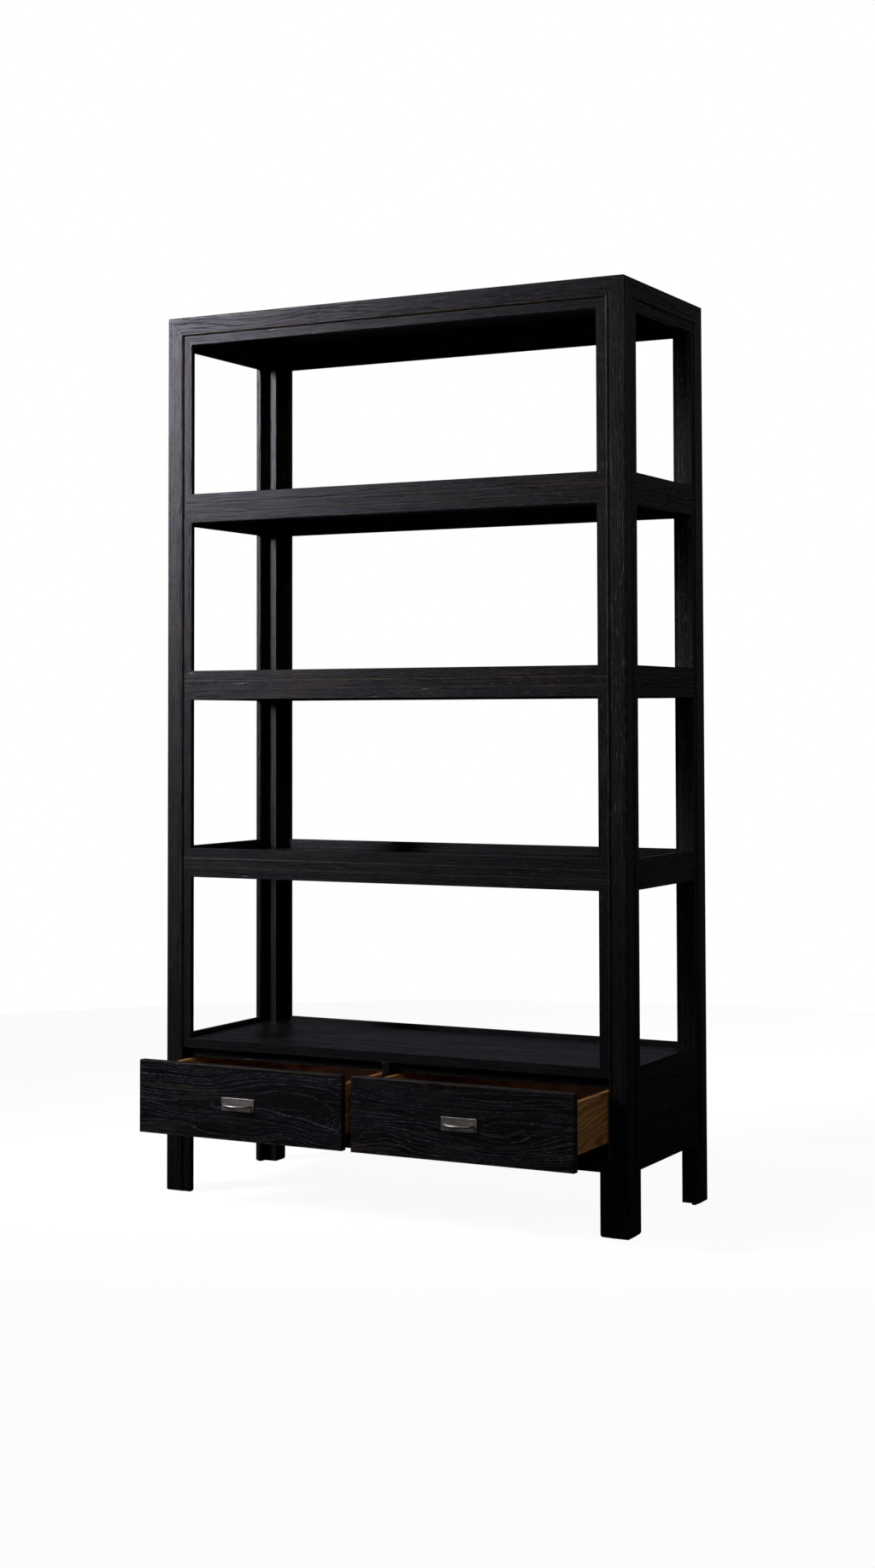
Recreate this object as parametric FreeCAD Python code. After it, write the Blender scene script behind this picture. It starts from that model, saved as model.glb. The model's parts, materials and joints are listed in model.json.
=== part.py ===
import FreeCAD, Part
import math
import os

# Bookcase with four open bays over a case with two drawers, in millimetres.
# The origin is on the floor, midway between the four legs. +X is the viewer's right, +Y the back, +Z up.

# Carcass
width = 1144.0
depth = 448.0
post_size = 44.0
arris_radius = 5.0
bead_width = 7.0
bead_height = 2.5
foot_radius = 7.0

# Border strips round the openings
trim_width = 22.0
trim_thickness = 12.0
trim_recess = 1.5

# Clear heights, counted from the floor up: the legs, the drawer opening, then the four bays
case_underside = 134.0
drawer_opening_height = 170.0
lowest_bay_height = 365.5
third_bay_height = 338.5
second_bay_height = 340.0
top_bay_height = 344.0

# Shelf frames and boards
frame_thickness = 22.0
board_thickness = 12.0
bottom_board_thickness = 12.0
board_gap = 0.5
tongue_length = 6.0
tongue_thickness = 5.0
tongue_drop = 4.0
groove_end_gap = 1.0
top_panel_recess = 2.0
top_panel_thickness = 14.0

# Joints between rails and posts
tenon_length = 12.0
tenon_thickness = 10.0
tenon_height = 14.0
tenon_back = 13.0
tenon_fit = 0.2
corner_tenon_size = 14.0
corner_tenon_inset = 16.0
corner_tenon_cover = 10.0

# Drawer case
divider_thickness = 17.0
runner_width = 22.0
runner_height = 38.7
runner_clearance = 0.3
guide_height = 36.0
guide_clearance = 1.0

# Drawers
drawer_open = 172.0
front_thickness = 18.0
front_edge_radius = 1.5
front_stop_gap = 2.0
front_side_gap = 2.5
front_bottom_gap = 6.5
front_top_gap = 4.7
box_inset = 3.0
box_height = 105.0
box_length = 385.0
box_wall = 12.0
box_bottom_thickness = 6.0
box_bottom_raise = 10.0
box_groove = 5.0
housing_depth = 6.0

# Handles
plate_width = 83.0
plate_height = 29.0
plate_thickness = 2.5
plate_corner = 2.0
plate_edge_radius = 0.8
bow_spacing = 60.0
bow_projection = 18.0
bow_diameter = 6.6
bow_corner_radius = 10.0
bow_end_angle = 23.5
bow_droop_angle = 2.0
bow_drop = 0.5
handle_drop = 2.0
stud_diameter = 4.0
stud_fit = 0.2
stud_end = 2.0
nut_width = 8.0
nut_thickness = 4.0

# Planes of the carcass
left, right = -width / 2, width / 2
front, back = -depth / 2, depth / 2
inner_left, inner_right = left + post_size, right - post_size
inner_front, inner_back = front + post_size, back - post_size
trim_depth = trim_recess + trim_thickness
drawer_rail_front = front + front_thickness + front_stop_gap

# Levels stacked up from the clear heights, with a border strip above and below each bay
case_floor_top = case_underside + trim_width
drawer_ceiling = case_floor_top + drawer_opening_height
shelf_3_top = drawer_ceiling + trim_width + lowest_bay_height + trim_width + frame_thickness
shelf_2_top = shelf_3_top + trim_width + third_bay_height + trim_width + frame_thickness
shelf_1_top = shelf_2_top + trim_width + second_bay_height + trim_width + frame_thickness
top_rail_bottom = shelf_1_top + trim_width + top_bay_height + trim_width
height = top_rail_bottom + post_size
shelf_tops = {"shelf_1": shelf_1_top, "shelf_2": shelf_2_top, "shelf_3": shelf_3_top}
frame_tops = list(shelf_tops.values()) + [drawer_ceiling, case_floor_top]

X_AXIS = FreeCAD.Vector(1, 0, 0)
Y_AXIS = FreeCAD.Vector(0, 1, 0)
Z_AXIS = FreeCAD.Vector(0, 0, 1)
ORIGIN = FreeCAD.Vector(0, 0, 0)
FLUSH = 0.01


def block(x0, x1, y0, y1, z0, z1):
    return Part.makeBox(x1 - x0, y1 - y0, z1 - z0, FreeCAD.Vector(x0, y0, z0))


def mirrored(shape, axis):
    return shape.mirror(ORIGIN, axis)


def prism(points, run):
    return Part.Face(Part.makePolygon(points + points[:1])).extrude(run)


def without_half_space(shape, point, normal):
    """The shape less everything on the normal's side of a plane through the point."""
    reach = 2 * (width + depth + height)
    slab = Part.makeBox(reach, reach, reach, FreeCAD.Vector(-reach / 2, -reach / 2, 0))
    slab.Placement = FreeCAD.Placement(point, FreeCAD.Rotation(Z_AXIS, normal))
    return shape.cut(slab)


# Posts and top rails

def member_section(place, side_bead):
    """Section of a post or top rail: its outer corner at (0, 0), rounded, and a raised bead along the
    inner edge of its face b = 0, and of its face a = 0 too where side_bead is set."""
    turn = arris_radius * (1 - math.sqrt(0.5))
    bead_start = post_size - bead_width
    bead_middle = post_size - bead_width / 2
    edges = [
        Part.makeLine(place(arris_radius, 0), place(bead_start, 0)),
        Part.Arc(place(bead_start, 0), place(bead_middle, -bead_height), place(post_size, 0)).toShape(),
        Part.makeLine(place(post_size, 0), place(post_size, post_size)),
        Part.makeLine(place(post_size, post_size), place(0, post_size)),
    ]
    straight_from = post_size
    if side_bead:
        straight_from = bead_start
        crest = place(-bead_height, bead_middle)
        edges.append(Part.Arc(place(0, post_size), crest, place(0, bead_start)).toShape())
    edges.append(Part.makeLine(place(0, straight_from), place(0, arris_radius)))
    edges.append(Part.Arc(place(0, arris_radius), place(turn, turn), place(arris_radius, 0)).toShape())
    return Part.Face(Part.Wire(edges))


def corner_tenon(grow):
    """The tenon on top of the front left post, hidden inside the three-way corner."""
    near = corner_tenon_inset - grow
    far = corner_tenon_inset + corner_tenon_size + grow
    return block(left + near, left + far, front + near, front + far,
                 height - post_size, height - corner_tenon_cover + grow)


def rail_tenons(grow):
    """The tenons of all frame rails that enter the front left post."""
    deep = tenon_length + grow
    low = post_size - tenon_back - tenon_thickness - grow
    high = post_size - tenon_back + grow
    tenons = []
    for top in frame_tops:
        middle = top - frame_thickness / 2
        z0 = middle - tenon_height / 2 - grow
        z1 = middle + tenon_height / 2 + grow
        tenons.append(block(inner_left - deep, inner_left, front + low, front + high, z0, z1))
        tenons.append(block(left + low, left + high, inner_front - deep, inner_front, z0, z1))
    return tenons


def toe_round(toe, outward, run):
    """What comes off to round the bottom edge of a foot, from toe along run, under the face that looks
    outward."""
    clear = 2 * bead_height
    turn = foot_radius * (1 - math.sqrt(0.5))
    along = FreeCAD.Vector(run).normalize() * clear

    def at(out, z):
        return toe - along + outward * out + Z_AXIS * z

    outline = [
        Part.makeLine(at(-foot_radius, -clear), at(-foot_radius, 0)),
        Part.Arc(at(-foot_radius, 0), at(-turn, turn), at(0, foot_radius)).toShape(),
        Part.makeLine(at(0, foot_radius), at(clear, foot_radius + clear)),
        Part.makeLine(at(clear, foot_radius + clear), at(clear, -clear)),
        Part.makeLine(at(clear, -clear), at(-foot_radius, -clear)),
    ]
    return Part.Face(Part.Wire(outline)).extrude(run + along * 2)


def make_post():
    """The front left post: mitred on its two outward faces at the top, mortised for the rails."""
    section = member_section(lambda a, b: FreeCAD.Vector(left + a, front + b, 0), True)
    post = section.extrude(Z_AXIS * height)
    corner = FreeCAD.Vector(left, front, height)
    post = without_half_space(post, corner, FreeCAD.Vector(1, 0, 1))
    post = without_half_space(post, corner, FreeCAD.Vector(0, 1, 1))
    post = post.fuse(corner_tenon(0)).removeSplitter()
    toe = FreeCAD.Vector(left, front, 0)
    rounds = [toe_round(toe, -X_AXIS, Y_AXIS * post_size), toe_round(toe, -Y_AXIS, X_AXIS * post_size)]
    return post.cut(rounds + rail_tenons(tenon_fit))


def corner_mortises():
    socket = corner_tenon(tenon_fit)
    pair = [socket, mirrored(socket, X_AXIS)]
    return pair + [mirrored(one, Y_AXIS) for one in pair]


def panel_groove(top, drop):
    """The groove that runs round inside a frame and takes a panel's tongue."""
    deep = tongue_length + groove_end_gap
    return block(inner_left - deep, inner_right + deep, inner_front - deep, inner_back + deep,
                 top - drop - tongue_thickness, top - drop)


def make_top_front_rail():
    section = member_section(lambda a, b: FreeCAD.Vector(left, front + b, height - a), False)
    rail = section.extrude(X_AXIS * width)
    for x, side in ((left, -1), (right, 1)):
        corner = FreeCAD.Vector(x, front, height)
        rail = without_half_space(rail, corner, FreeCAD.Vector(side, 1, 0))
        rail = without_half_space(rail, corner, FreeCAD.Vector(side, 0, -1))
    return rail.cut(corner_mortises() + [panel_groove(height - top_panel_recess, tongue_drop)])


def make_top_left_rail():
    section = member_section(lambda a, b: FreeCAD.Vector(left + b, front, height - a), False)
    rail = section.extrude(Y_AXIS * depth)
    for y, side in ((front, -1), (back, 1)):
        corner = FreeCAD.Vector(left, y, height)
        rail = without_half_space(rail, corner, FreeCAD.Vector(1, side, 0))
        rail = without_half_space(rail, corner, FreeCAD.Vector(0, side, -1))
    return rail.cut(corner_mortises() + [panel_groove(height - top_panel_recess, tongue_drop)])


# Panels and shelf frames

def tongued_panel(top, thickness):
    """A board between the posts' inner faces, its tongue in the groove of the frame round it."""
    body = block(inner_left + board_gap, inner_right - board_gap, inner_front + board_gap,
                 inner_back - board_gap, top - thickness, top)
    tongue = block(inner_left - tongue_length, inner_right + tongue_length, inner_front - tongue_length,
                   inner_back + tongue_length, top - tongue_drop - tongue_thickness, top - tongue_drop)
    for x in (left, inner_right):
        for y in (front, inner_back):
            tongue = tongue.cut(block(x - board_gap, x + post_size + board_gap, y - board_gap,
                                      y + post_size + board_gap, 0, height))
    return body.fuse(tongue).removeSplitter()


def shelf_frame(top, faces, grooved):
    """Four rails between the posts, with tenons. faces holds how far the outer face of the front, rear
    and side rails lies inside the posts' faces."""
    front_face, rear_face, side_face = faces
    bottom = top - frame_thickness
    middle = top - frame_thickness / 2
    z0 = middle - tenon_height / 2
    z1 = middle + tenon_height / 2
    low = post_size - tenon_back - tenon_thickness
    high = post_size - tenon_back
    rails = []
    for face, edge, inward in ((front_face, front, 1), (rear_face, back, -1)):
        across = sorted((edge + inward * face, edge + inward * post_size))
        tenon = sorted((edge + inward * low, edge + inward * high))
        rail = block(inner_left, inner_right, *across, bottom, top)
        rails.append(rail.fuse(block(inner_left - tenon_length, inner_right + tenon_length, *tenon, z0, z1)))
    for edge, inward in ((left, 1), (right, -1)):
        across = sorted((edge + inward * side_face, edge + inward * post_size))
        tenon = sorted((edge + inward * low, edge + inward * high))
        rail = block(*across, inner_front, inner_back, bottom, top)
        rails.append(rail.fuse(block(*tenon, inner_front - tenon_length, inner_back + tenon_length, z0, z1)))
    if grooved:
        rails = [rail.cut(panel_groove(top, tongue_drop)) for rail in rails]
    return Part.makeCompound([rail.removeSplitter() for rail in rails])


def make_bottom_board():
    """The bottom shelf's board lies on its frame, inside the border strips and round the posts."""
    board = block(left + trim_depth, right - trim_depth, front + trim_depth, back - trim_depth,
                  drawer_ceiling, drawer_ceiling + bottom_board_thickness)
    for x in (left, inner_right):
        for y in (front, inner_back):
            board = board.cut(block(x - board_gap, x + post_size + board_gap, y - board_gap,
                                    y + post_size + board_gap, 0, height))
    return board


# Border strips

def bay_strips(place, u0, u1, z0, z1, run):
    """Four strips mitred round one opening. place turns (u, z) into a point of the strips' outer face."""
    outer = [(u0, z0), (u1, z0), (u1, z1), (u0, z1)]
    inner = [(u0 + trim_width, z0 + trim_width), (u1 - trim_width, z0 + trim_width),
             (u1 - trim_width, z1 - trim_width), (u0 + trim_width, z1 - trim_width)]
    strips = []
    for i in range(4):
        j = (i + 1) % 4
        corners = [place(*p) for p in (outer[i], outer[j], inner[j], inner[i])]
        strips.append(prism(corners, run))
    return Part.makeCompound(strips)


def leg_strips(place, u0, u1, run):
    """A strip under the case, mitred at its ends to a strip down each leg."""
    top = case_floor_top
    low = case_underside
    along = place(1, 0) - place(0, 0)
    outward = -FreeCAD.Vector(run).normalize()
    rail = [(u0, top), (u0 + trim_width, low), (u1 - trim_width, low), (u1, top)]
    strips = [prism([place(*p) for p in rail], run)]
    for u, way in ((u0, 1), (u1, -1)):
        inner = u + way * trim_width
        leg = prism([place(*p) for p in ((u, 0), (inner, 0), (inner, low), (u, top))], run)
        inner_round = toe_round(place(inner, 0), along * way, run)
        face_round = toe_round(place(u, 0), outward, along * way * trim_width)
        strips.append(leg.cut([inner_round, face_round]))
    return Part.makeCompound(strips)


def on_front(u, z):
    return FreeCAD.Vector(u, front + trim_recess, z)


def on_left(u, z):
    return FreeCAD.Vector(left + trim_recess, u, z)


def make_trim(nodes):
    bays = {
        "bay_1": (shelf_1_top, top_rail_bottom),
        "bay_2": (shelf_2_top, shelf_1_top - frame_thickness),
        "bay_3": (shelf_3_top, shelf_2_top - frame_thickness),
        "bay_4": (drawer_ceiling, shelf_3_top - frame_thickness),
    }
    for bay, (z0, z1) in bays.items():
        front_strips = bay_strips(on_front, inner_left, inner_right, z0, z1, Y_AXIS * trim_thickness)
        left_strips = bay_strips(on_left, inner_front, inner_back, z0, z1, X_AXIS * trim_thickness)
        nodes[bay + "_front_trim"] = front_strips
        nodes[bay + "_rear_trim"] = mirrored(front_strips, Y_AXIS)
        nodes[bay + "_left_trim"] = left_strips
        nodes[bay + "_right_trim"] = mirrored(left_strips, X_AXIS)
    left_legs = leg_strips(on_left, inner_front, inner_back, X_AXIS * trim_thickness)
    nodes["leg_front_trim"] = leg_strips(on_front, inner_left, inner_right, Y_AXIS * trim_thickness)
    nodes["leg_left_trim"] = left_legs
    nodes["leg_right_trim"] = mirrored(left_legs, X_AXIS)


# Drawer case

def make_divider():
    """Upright board between the drawers, notched round the rail over them."""
    x0, x1 = -divider_thickness / 2, divider_thickness / 2
    face = front + trim_recess
    rail_bottom = drawer_ceiling - frame_thickness
    board = block(x0, x1, face, back - trim_depth, case_floor_top, rail_bottom)
    horn = block(x0, x1, face, drawer_rail_front, rail_bottom, drawer_ceiling)
    return board.fuse(horn).removeSplitter()


def make_runners():
    """A runner under each side of each drawer, and a guide beside each outer one."""
    z0 = case_floor_top
    z1 = case_floor_top + runner_height
    side_face = inner_left + front_side_gap + box_inset - guide_clearance
    outer = block(left + trim_depth, inner_left + runner_width, inner_front, inner_back, z0, z1)
    divider_face = -divider_thickness / 2
    inner = block(divider_face - runner_width, divider_face, inner_front, inner_back, z0, z1)
    guide = block(left + trim_depth, side_face, inner_front, inner_back, z1, z1 + guide_height)
    pieces = [outer, inner, guide]
    return Part.makeCompound(pieces + [mirrored(piece, X_AXIS) for piece in pieces])


def make_case(nodes):
    side = block(left + trim_recess, left + trim_depth, inner_front, inner_back,
                 case_floor_top, drawer_ceiling)
    nodes["case_left_panel"] = side
    nodes["case_right_panel"] = mirrored(side, X_AXIS)
    nodes["case_back_panel"] = block(inner_left, inner_right, back - trim_depth, back - trim_recess,
                                     case_underside, drawer_ceiling)
    nodes["case_divider"] = make_divider()
    nodes["case_bottom_frame"] = shelf_frame(case_floor_top, (trim_depth, trim_depth, trim_depth), True)
    nodes["case_floor"] = tongued_panel(case_floor_top, board_thickness)
    nodes["drawer_runners"] = make_runners()


# Drawers, first made closed, about the middle of their own opening

drawer_bay_width = (inner_right - inner_left - divider_thickness) / 2
drawer_middle = (divider_thickness + drawer_bay_width) / 2
front_half = drawer_bay_width / 2 - front_side_gap
front_low = case_floor_top + front_bottom_gap
front_high = drawer_ceiling - front_top_gap
front_rear = front + front_thickness
box_half = front_half - box_inset
box_low = case_floor_top + runner_height + runner_clearance
box_high = box_low + box_height
box_rear = front_rear + box_length
panel_low = box_low + box_bottom_raise
panel_high = panel_low + box_bottom_thickness
handle_height = (front_low + front_high) / 2 - handle_drop


def handle_axes(radius, y0, y1):
    """Round bars at the two points where a handle is fixed."""
    z = handle_height - bow_drop
    return [Part.makeCylinder(radius, y1 - y0, FreeCAD.Vector(x, y0, z), Y_AXIS)
            for x in (-bow_spacing / 2, bow_spacing / 2)]


def edges_on_face(shape, y):
    """The edges that lie in the plane across the depth at y."""
    return [edge for edge in shape.Edges if max(abs(v.Y - y) for v in edge.Vertexes) < FLUSH]


def make_drawer_front():
    board = block(-front_half, front_half, front, front_rear, front_low, front_high)
    board = board.makeFillet(front_edge_radius, edges_on_face(board, front))
    housings = []
    for x in (-box_half, box_half - box_wall):
        housings.append(block(x, x + box_wall, front_rear - housing_depth, front_rear, box_low, box_high))
    reach = box_half - box_wall + box_groove
    housings.append(block(-reach, reach, front_rear - housing_depth, front_rear, panel_low, panel_high))
    return board.cut(housings + handle_axes(stud_diameter / 2 + stud_fit, front, front_rear))


def make_drawer_side():
    """The left side, its front end in the drawer front and a groove along its inner face."""
    inner = -box_half + box_wall
    front_end = front_rear - housing_depth
    side = block(-box_half, inner, front_end, box_rear, box_low, box_high)
    return side.cut(block(inner - box_groove, inner, front_end, box_rear, panel_low, panel_high))


def make_drawer_back():
    inner = box_half - box_wall
    return block(-inner, inner, box_rear - box_wall, box_rear, panel_high, box_high)


def make_drawer_bottom():
    reach = box_half - box_wall + box_groove
    return block(-reach, reach, front_rear - housing_depth, box_rear, panel_low, panel_high)


def make_handle_plate():
    plate = block(-plate_width / 2, plate_width / 2, front - plate_thickness, front,
                  handle_height - plate_height / 2, handle_height + plate_height / 2)
    face = front - plate_thickness
    outline = edges_on_face(plate, face) + edges_on_face(plate, front)
    corners = [edge for edge in plate.Edges if not any(edge.isSame(other) for other in outline)]
    plate = plate.makeFillet(plate_corner, corners)
    plate = plate.makeFillet(plate_edge_radius, edges_on_face(plate, face))
    return plate.cut(handle_axes(stud_diameter / 2 + stud_fit, front - plate_thickness, front))


def make_handle_bow():
    """A round bar bent to a shallow bow between two corner bends, tilted down a little about its ends,
    with a stud behind each end."""
    angle = math.radians(bow_end_angle)
    half = bow_spacing / 2
    bend = bow_corner_radius
    join_x = half - bend * (1 - math.sin(angle))
    sweep = join_x / math.sin(angle)
    join_y = bow_projection - sweep * (1 - math.cos(angle))
    bend_y = join_y - bend * math.cos(angle)
    middle = angle / 2 + math.pi / 4
    bend_x = half - bend * (1 - math.sin(middle))
    bend_mid_y = bend_y + bend * math.cos(middle)
    root = -bow_diameter

    def at(x, out):
        return FreeCAD.Vector(x, -out, 0)

    path = Part.Wire([
        Part.makeLine(at(-half, root), at(-half, bend_y)),
        Part.Arc(at(-half, bend_y), at(-bend_x, bend_mid_y), at(-join_x, join_y)).toShape(),
        Part.Arc(at(-join_x, join_y), at(0, bow_projection), at(join_x, join_y)).toShape(),
        Part.Arc(at(join_x, join_y), at(bend_x, bend_mid_y), at(half, bend_y)).toShape(),
        Part.makeLine(at(half, bend_y), at(half, root)),
    ])
    ring = Part.Wire(Part.makeCircle(bow_diameter / 2, at(-half, root), Y_AXIS))
    bow = path.makePipeShell([ring], True, False)
    bow.rotate(ORIGIN, X_AXIS, bow_droop_angle)
    seat = FreeCAD.Vector(0, front - plate_thickness, handle_height - bow_drop)
    bow.translate(seat)
    bow = without_half_space(bow, seat, Y_AXIS)
    studs = handle_axes(stud_diameter / 2, seat.y, front_rear + nut_thickness + stud_end)
    return bow.fuse(studs)


def make_handle_nuts():
    """A hexagonal nut on each stud, against the inside of the drawer front."""
    nuts = []
    holes = handle_axes(stud_diameter / 2 + stud_fit, front_rear, front_rear + nut_thickness)
    corner = nut_width / 2 / math.cos(math.pi / 6)
    for x, hole in zip((-bow_spacing / 2, bow_spacing / 2), holes):
        points = []
        for i in range(6):
            turn = i * math.pi / 3
            points.append(FreeCAD.Vector(x + corner * math.cos(turn), front_rear,
                                         handle_height - bow_drop + corner * math.sin(turn)))
        nuts.append(prism(points, Y_AXIS * nut_thickness).cut(hole))
    return Part.makeCompound(nuts)


def make_drawers(nodes):
    side = make_drawer_side()
    pieces = {
        "front": make_drawer_front(),
        "left_side": side,
        "right_side": mirrored(side, X_AXIS),
        "back": make_drawer_back(),
        "bottom": make_drawer_bottom(),
        "handle_plate": make_handle_plate(),
        "handle_bow": make_handle_bow(),
        "handle_nuts": make_handle_nuts(),
    }
    for drawer, x in (("left_drawer", -drawer_middle), ("right_drawer", drawer_middle)):
        for piece, shape in pieces.items():
            nodes[drawer + "_" + piece] = shape.translated(FreeCAD.Vector(x, -drawer_open, 0))


def make_carcass(nodes):
    post = make_post()
    nodes["post_front_left"] = post
    nodes["post_front_right"] = mirrored(post, X_AXIS)
    nodes["post_rear_left"] = mirrored(post, Y_AXIS)
    nodes["post_rear_right"] = mirrored(nodes["post_rear_left"], X_AXIS)
    nodes["top_front_rail"] = make_top_front_rail()
    nodes["top_rear_rail"] = mirrored(nodes["top_front_rail"], Y_AXIS)
    nodes["top_left_rail"] = make_top_left_rail()
    nodes["top_right_rail"] = mirrored(nodes["top_left_rail"], X_AXIS)
    nodes["top_panel"] = tongued_panel(height - top_panel_recess, top_panel_thickness)
    for shelf, top in shelf_tops.items():
        nodes[shelf + "_frame"] = shelf_frame(top, (trim_recess, trim_recess, trim_recess), True)
        nodes[shelf + "_board"] = tongued_panel(top, board_thickness)
    set_back = drawer_rail_front - front
    nodes["bottom_shelf_frame"] = shelf_frame(drawer_ceiling, (set_back, trim_depth, trim_depth), False)
    nodes["bottom_shelf_board"] = make_bottom_board()


def main():
    os.makedirs("parts", exist_ok=True)
    nodes = {}
    make_carcass(nodes)
    make_trim(nodes)
    make_case(nodes)
    make_drawers(nodes)
    for node, shape in nodes.items():
        shape.exportStep("parts/" + node + ".step")
        state = "valid" if shape.isValid() else "INVALID"
        print(node, len(shape.Solids), "solids", state)
    print(len(nodes), "nodes")


main()
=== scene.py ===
"""Looks of the bookcase with bottom drawers, and the plain studio in which it stands."""
import json
import math
import random

import bmesh
import bpy
from mathutils import Matrix, Vector

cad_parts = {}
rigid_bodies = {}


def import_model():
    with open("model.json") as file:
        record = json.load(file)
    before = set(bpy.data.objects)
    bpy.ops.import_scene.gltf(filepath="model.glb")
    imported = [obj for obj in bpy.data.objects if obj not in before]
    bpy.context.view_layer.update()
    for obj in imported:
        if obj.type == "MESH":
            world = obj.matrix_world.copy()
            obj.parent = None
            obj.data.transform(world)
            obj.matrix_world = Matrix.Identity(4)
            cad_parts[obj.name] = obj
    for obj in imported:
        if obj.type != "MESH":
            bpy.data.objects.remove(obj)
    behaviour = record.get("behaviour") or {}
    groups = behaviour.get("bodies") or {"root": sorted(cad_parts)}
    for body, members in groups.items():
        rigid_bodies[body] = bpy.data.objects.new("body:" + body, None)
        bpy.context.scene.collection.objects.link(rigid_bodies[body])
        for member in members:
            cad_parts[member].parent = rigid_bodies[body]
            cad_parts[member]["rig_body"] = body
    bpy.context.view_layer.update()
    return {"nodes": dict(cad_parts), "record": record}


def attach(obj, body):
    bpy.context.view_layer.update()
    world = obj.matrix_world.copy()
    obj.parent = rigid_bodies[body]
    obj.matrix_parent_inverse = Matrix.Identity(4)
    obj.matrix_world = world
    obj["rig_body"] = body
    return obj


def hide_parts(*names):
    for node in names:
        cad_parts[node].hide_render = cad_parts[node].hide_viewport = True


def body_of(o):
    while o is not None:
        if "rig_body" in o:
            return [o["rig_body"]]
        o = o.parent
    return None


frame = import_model()
cad = frame["nodes"]


def colour(red, green, blue):
    return (red, green, blue, 1.0)


# Sizes in metres

BEAD_HEIGHT = 0.0025
EDGE_ROUND = 0.0007
FRONT_ROUND = 0.0018
STRIP_WIDTH = 0.022
STRIP_ROUND = 0.0011
FLAT_FACE_WIDTH = 0.004
JOINT_WIDTH = 0.0008
BEAD_CREST = 0.0018
HANDLED_HEIGHTS = (0.1, 1.4)
MERGE_DISTANCE = 0.00001
FLOOR_RADIUS = 3.6

# Angles in degrees, and the least part of a square face's direction that lies along an axis

WELD_ANGLE = 0.6
SHARP_ANGLE = 40
SMOOTH_ANGLE = 50
SQUARE_ENOUGH = 0.999

# Boards and their neighbours

UPWARD = Vector((0, 0, 1))
OUTWARD = {
    "front": Vector((0, -1, 0)),
    "rear": Vector((0, 1, 0)),
    "left": Vector((-1, 0, 0)),
    "right": Vector((1, 0, 0)),
}
ENDS_OF_AXIS = (("left", "right"), ("front", "rear"))
SHELVES_OF_BAY = {
    "bay_1": ("top", "shelf_1"),
    "bay_2": ("shelf_1", "shelf_2"),
    "bay_3": ("shelf_2", "shelf_3"),
    "bay_4": ("shelf_3", "bottom_shelf"),
}
BEADED_AXES = {
    "post": (0, 1),
    "top_front_rail": (1,),
    "top_rear_rail": (1,),
    "top_left_rail": (0,),
    "top_right_rail": (0,),
}
GLUED_PLANKS = {
    "top_panel": 4,
    "shelf_1_board": 4,
    "shelf_2_board": 4,
    "shelf_3_board": 4,
    "bottom_shelf_board": 4,
    "case_floor": 4,
    "case_back_panel": 2,
    "case_left_panel": 2,
    "case_right_panel": 2,
    "left_drawer_front": 2,
    "right_drawer_front": 2,
    "left_drawer_bottom": 3,
    "right_drawer_bottom": 3,
}

# Figure of the wood, from straight grain at 0 to full loops at 1

POST_FIGURE = 0.15
STRIP_FIGURE = 0.45
BOARD_FIGURE = 0.6
FRONT_FIGURE = 0.9

# Growth of the wood; ring widths and line breadths are those of a narrow and of a wide plank

LOG_LENGTH = 9.0
PLANK_WIDTHS = (0.02, 0.08)
STAINED_RINGS = (0.0050, 0.0095)
PALE_RINGS = (0.0060, 0.0130)
LINE_BREADTHS = (1.35, 2.6)
BROADEST_LINE = 0.36
SMALL_WAY = 0.0008
MOST_FOLDS = 17.0
MOST_SLANT = 7.0
RING_SPREAD = 2.6

# Marks in the wood, as counts per metre along the grain and across it

LINE_SWELLS = (40.0, 60.0)
ACCENTS = (26.0, 130.0)
DASHES = (95.0, 430.0)
PORES = (52.0, 470.0)
FIBRES = (12.0, 260.0)
STREAKS = (8.0, 190.0)
PITS = (15.3, 57.8)

# Finishes

STAIN = colour(0.0006, 0.0005, 0.0006)
WORN_STAIN = colour(0.016, 0.0125, 0.0062)
# Grey fill of the grain lines; on the drawer fronts it is also painted light.
GRAIN_FILL = colour(0.054, 0.0545, 0.063)
PORE_GREY = colour(0.052, 0.051, 0.051)
# Painted shade: a dark line along the joints at sheltered edges, where the groove between parts lies in
# shade.
PAINTED_SEAM_SHADE = colour(0.0012, 0.0011, 0.0011)
PIT_BLACK = colour(0.0015, 0.0015, 0.0015)
LACQUER = {"Specular IOR Level": 0.025, "Coat Roughness": 0.36, "Coat IOR": 1.27}
# Free edges: the brown is partly rubbed wear and partly a painted highlight along the outer edges and bead
# crests.
FREE_EDGE_WEAR_AND_HIGHLIGHT = {
    "reach": (0.0002, 0.0055),
    "fade": 0.0016,
    "amount": 0.75,
    "brown": colour(0.042, 0.028, 0.0165),
    "seam_shade": None,
}
# Sheltered edges meet a neighbouring part; the seam_shade widths give a line of painted shade along that
# joint.
SHELTERED_EDGES = {
    "reach": (0.0, 0.0048),
    "fade": 0.0030,
    "amount": 0.55,
    "brown": colour(0.024, 0.016, 0.0095),
    "seam_shade": (0.0014, 0.0006),
}

PALE_WOOD = colour(0.38, 0.200, 0.055)
WARM_WOOD = colour(0.29, 0.125, 0.028)
RING_BROWN = colour(0.145, 0.052, 0.0105)
PORE_BROWN = colour(0.09, 0.035, 0.010)
# Painted highlight along the edges of the drawer boards.
PAINTED_EDGE_HIGHLIGHT = colour(0.36, 0.25, 0.13)

METAL_FILM = colour(0.255, 0.228, 0.195)
METAL_RUBBED = colour(0.295, 0.268, 0.230)

# Studio

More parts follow.
